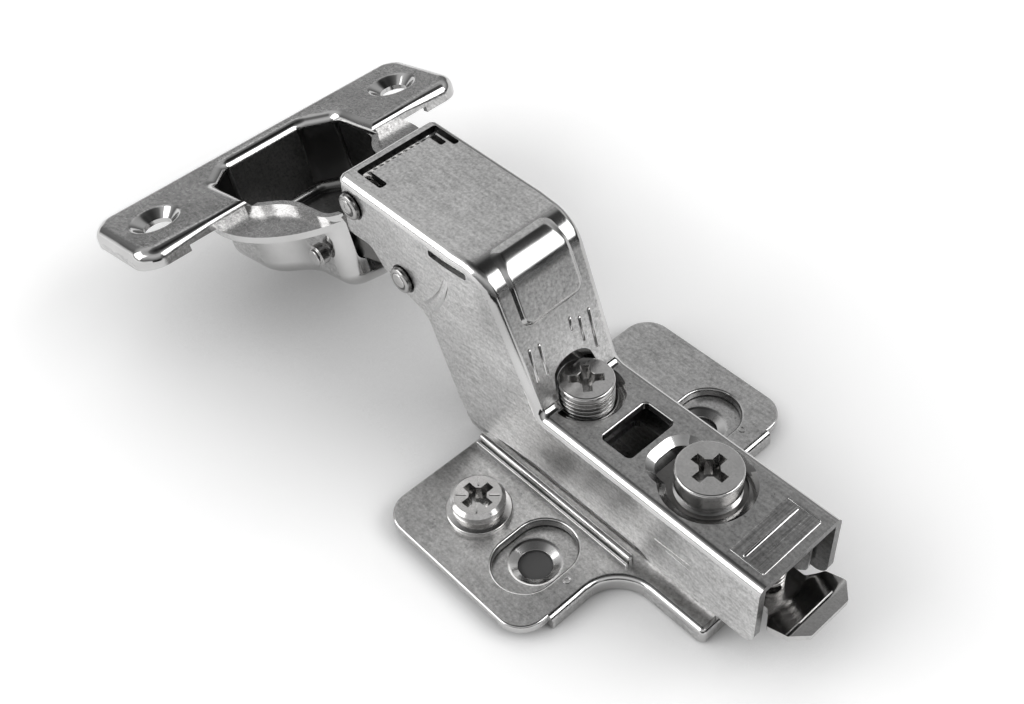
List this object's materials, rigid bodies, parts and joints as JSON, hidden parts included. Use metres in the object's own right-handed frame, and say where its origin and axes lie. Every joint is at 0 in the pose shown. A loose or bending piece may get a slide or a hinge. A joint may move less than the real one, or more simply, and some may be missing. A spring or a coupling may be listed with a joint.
{
  "type": "concealed cup hinge",
  "caption": "Concealed cup hinge: flanged cup, linked cranked arm with adjusting screws, clip-on adapter and winged mounting plate, shown open.",
  "frame": {"origin": "middle of the mounting plate's wings, on the face that meets the cabinet side", "axes": "+Z away from the cabinet side, +X towards the release lever (the cup is at -X), +Y along the wings and along every hinge pin"},
  "size_m": [0.1167, 0.0596, 0.0365],
  "materials": {
    "plate_steel": "satin nickel plate with bright edges",
    "arm_steel": "satin nickel plate with bright bends",
    "cup_steel": "nickel plate, bright inside",
    "lever_steel": "bright nickel plate",
    "screw_steel": "bright plated",
    "pin_steel": "bright",
    "spring_steel": "spring wire",
    "dark_steel": "dark plated"
  },
  "bodies": {
    "plate": {"fixing_plate": "plate_steel", "guide_rivet_front": "pin_steel", "guide_rivet_rear": "pin_steel"},
    "carriage": {"cross_plate": "plate_steel", "adapter": "plate_steel", "lever_pin": "pin_steel", "lever_spring": "spring_steel"},
    "height_screw": {"height_cam": "screw_steel"},
    "lever": {"clip_lever": "lever_steel"},
    "slider": {"depth_slider": "dark_steel"},
    "depth_screw": {"depth_cam": "screw_steel"},
    "tilt_screw": {"side_screw": "screw_steel"},
    "cranked_arm": {"arm": "arm_steel", "arm_pin_front": "pin_steel", "arm_pin_rear": "pin_steel", "closing_spring": "spring_steel"},
    "long_link": {"outer_link": "dark_steel"},
    "door_cup": {"cup": "cup_steel", "cup_pin": "pin_steel", "cup_stub_left": "pin_steel", "cup_stub_right": "pin_steel"},
    "short_link": {"inner_link": "dark_steel"}
  },
  "joints": [
    {"name": "height_adjust", "type": "slide", "parent": "plate", "child": "carriage", "axis": [0, 1, 0], "range_m": [-0.002, 0.002]},
    {"name": "height_cam_turn", "type": "hinge", "parent": "carriage", "child": "height_screw", "pos_m": [-0.0044, -0.0163, 0.004], "axis": [0, 0, 1], "range_deg": [-60.2, 60.2]},
    {"name": "lever_press", "type": "hinge", "parent": "carriage", "child": "lever", "pos_m": [0.0265, 0, 0.0084], "axis": [0, 1, 0], "range_deg": [-12, 0], "stiffness_Nm_per_rad": 0.03, "springref_deg": 17.19, "deforming": ["lever_spring"]},
    {"name": "depth_adjust", "type": "slide", "parent": "carriage", "child": "slider", "axis": [1, 0, 0], "range_m": [-0.0025, 0.0025]},
    {"name": "depth_cam_turn", "type": "hinge", "parent": "slider", "child": "depth_screw", "pos_m": [0.02056, 0, 0.0165], "axis": [0, 0, 1], "range_deg": [-60.2, 60.2]},
    {"name": "side_adjust", "type": "hinge", "parent": "slider", "child": "cranked_arm", "pos_m": [0.02056, 0, 0.0144], "axis": [0, 1, 0], "range_deg": [-1.9, 1.9]},
    {"name": "side_screw_turn", "type": "hinge", "parent": "slider", "child": "tilt_screw", "pos_m": [-0.00028, 0, 0.016], "axis": [0, 0, 1], "range_deg": [-250, 250]},
    {"name": "long_link_swing", "type": "hinge", "parent": "cranked_arm", "child": "long_link", "pos_m": [-0.0356, 0, 0.0327], "axis": [0, 1, 0], "range_deg": [0, 4.25]},
    {"name": "door_swing", "type": "hinge", "parent": "long_link", "child": "door_cup", "pos_m": [-0.04494, 0, 0.01446], "axis": [0, 1, 0], "range_deg": [0, 100.8]},
    {"name": "short_link_swing", "type": "hinge", "parent": "door_cup", "child": "short_link", "pos_m": [-0.0445, 0, 0.01861], "axis": [0, 1, 0], "range_deg": [-120.4, 0]}
  ],
  "couplings": [
    {"joint": "height_cam_turn", "follows": "height_adjust", "rad_per_m": 523.6},
    {"joint": "depth_cam_turn", "follows": "depth_adjust", "rad_per_m": 418.88},
    {"joint": "side_screw_turn", "follows": "side_adjust", "ratio": 130},
    {"joint": "long_link_swing", "follows": "door_swing", "ratio": 0.041667},
    {"joint": "short_link_swing", "follows": "door_swing", "ratio": -1.1927}
  ]
}
